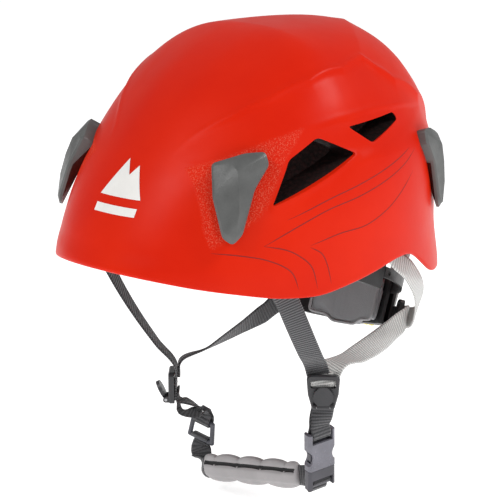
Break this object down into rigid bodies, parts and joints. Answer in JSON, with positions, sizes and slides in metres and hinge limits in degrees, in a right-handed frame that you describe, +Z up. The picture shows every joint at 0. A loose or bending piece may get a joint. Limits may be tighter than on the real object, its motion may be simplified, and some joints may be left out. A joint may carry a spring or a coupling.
{
  "type": "climbing helmet",
  "caption": "Climbing helmet with a vented hard shell, foam liner, headlamp clips, nape cradle with size dial, Y-strap harness, buckle and chin pad.",
  "frame": {"origin": "the middle of the head opening, level with the side anchors, on the left-right middle plane", "axes": "+X to the wearer's left, +Y to the rear, +Z up"},
  "size_m": [0.216, 0.2784, 0.3238],
  "materials": {
    "shell_red": "gloss red moulded shell",
    "foam_black": "dark expanded foam",
    "pad_fabric": "grey padded fabric",
    "crown_fabric": "black padded fabric",
    "clip_grey": "grained dark grey moulding",
    "plastic_black": "matt black moulding",
    "arm_grey": "light grey moulding",
    "band_black": "flexible black moulding",
    "dial_yellow": "yellow satin moulding",
    "divider_grey": "dark grey moulding",
    "webbing_dark": "ribbed dark grey webbing",
    "webbing_light": "ribbed light grey webbing",
    "buckle_grey": "satin blue-grey moulding",
    "ring_black": "black coated wire",
    "chin_rubber": "light grey soft moulding",
    "steel": "plain steel"
  },
  "bodies": {
    "shell": {"outer_shell": "shell_red", "foam_liner": "foam_black", "crown_pads": "crown_fabric", "headlamp_clip_front_left": "clip_grey", "headlamp_clip_front_right": "clip_grey", "headlamp_clip_rear_left": "clip_grey", "headlamp_clip_rear_right": "clip_grey", "clip_studs": "plastic_black", "strap_anchor_front_left": "plastic_black", "strap_anchor_front_right": "plastic_black", "strap_anchor_rear_left": "plastic_black", "strap_anchor_rear_right": "plastic_black", "anchor_rivets": "steel", "headband": "plastic_black", "brow_pad": "pad_fabric", "headband_hangers": "plastic_black", "rear_bracket_left": "plastic_black", "rear_bracket_right": "plastic_black", "arm_pivot_pins": "steel", "divider_left": "divider_grey", "divider_right": "divider_grey", "lever_pins": "steel", "front_strap_left": "webbing_dark", "front_strap_right": "webbing_dark", "rear_strap_left": "webbing_light", "rear_strap_right": "webbing_dark", "rear_strap_upper_left": "webbing_light", "rear_strap_upper_right": "webbing_dark"},
    "cradle": {"cradle_arm_left": "arm_grey", "cradle_arm_right": "arm_grey", "arm_pegs": "plastic_black", "nape_carrier": "plastic_black", "carrier_cover": "plastic_black", "nape_pad": "pad_fabric", "adjuster_housing": "plastic_black", "strap_guide_left": "plastic_black", "strap_guide_right": "plastic_black"},
    "dial": {"adjuster_dial": "dial_yellow", "dial_pinion": "plastic_black", "dial_screw": "steel"},
    "rack_left": {"rack_band_left": "band_black"},
    "rack_right": {"rack_band_right": "band_black"},
    "lever_left": {"divider_lever_left": "divider_grey"},
    "lever_right": {"divider_lever_right": "divider_grey"},
    "chin_loop": {"lower_strap_left": "webbing_dark", "lower_strap_right": "webbing_dark", "buckle_socket": "buckle_grey", "chin_ring": "ring_black", "chin_pad": "chin_rubber", "chin_webbing": "webbing_dark"},
    "plug": {"buckle_plug": "plastic_black"},
    "prong_front": {"plug_prong_front": "plastic_black"},
    "prong_rear": {"plug_prong_rear": "plastic_black"}
  },
  "joints": [
    {"name": "cradle_tilt", "type": "hinge", "parent": "shell", "child": "cradle", "pos_m": [-0.00335, 0.12532, -0.02218], "axis": [0.9976, 0.0284, 0.0637], "range_deg": [-8, 12], "deforming": ["rear_strap_left", "rear_strap_right", "rear_strap_upper_left", "rear_strap_upper_right"]},
    {"name": "dial_turn", "type": "hinge", "parent": "cradle", "child": "dial", "pos_m": [0, 0.106, -0.066], "axis": [0, 0.9135, -0.4067], "range_deg": [-150, 150]},
    {"name": "rack_slide_left", "type": "hinge", "parent": "cradle", "child": "rack_left", "pos_m": [0, 0.03657, -0.03509], "axis": [-0.0698, 0.4057, 0.9113], "range_deg": [-12, 12]},
    {"name": "rack_slide_right", "type": "hinge", "parent": "cradle", "child": "rack_right", "pos_m": [0, 0.03657, -0.03509], "axis": [-0.0698, 0.4057, 0.9113], "range_deg": [-12, 12]},
    {"name": "lever_turn_left", "type": "hinge", "parent": "shell", "child": "lever_left", "pos_m": [0.07883, -0.01083, -0.103], "axis": [0.7071, 0.7071, 0], "range_deg": [0, 75]},
    {"name": "lever_turn_right", "type": "hinge", "parent": "shell", "child": "lever_right", "pos_m": [-0.07783, -0.00583, -0.132], "axis": [0.7071, -0.7071, 0], "range_deg": [-27, 48]},
    {"name": "chin_swing", "type": "hinge", "parent": "shell", "child": "chin_loop", "pos_m": [0.0005, -0.0055, -0.1185], "axis": [0.9815, -0.0325, 0.1885], "range_deg": [-30, 30], "deforming": ["lower_strap_left", "lower_strap_right"]},
    {"name": "buckle_release", "type": "slide", "parent": "chin_loop", "child": "plug", "axis": [-0.1429, 0.1669, -0.9756], "range_m": [0, 0.03], "deforming": ["chin_webbing"]},
    {"name": "prong_squeeze_front", "type": "hinge", "parent": "plug", "child": "prong_front", "pos_m": [0.0648, -0.00681, -0.14929], "axis": [-0.9694, 0.1751, 0.172], "range_deg": [0, 5], "stiffness_Nm_per_rad": 0.05},
    {"name": "prong_squeeze_rear", "type": "hinge", "parent": "plug", "child": "prong_rear", "pos_m": [0.0674, 0.00581, -0.14751], "axis": [0.9694, -0.1751, -0.172], "range_deg": [0, 5], "stiffness_Nm_per_rad": 0.05}
  ],
  "couplings": [
    {"joint": "rack_slide_left", "follows": "dial_turn", "ratio": -0.075389},
    {"joint": "rack_slide_right", "follows": "dial_turn", "ratio": 0.075389},
    {"joint": "prong_squeeze_rear", "follows": "prong_squeeze_front", "ratio": 1}
  ]
}
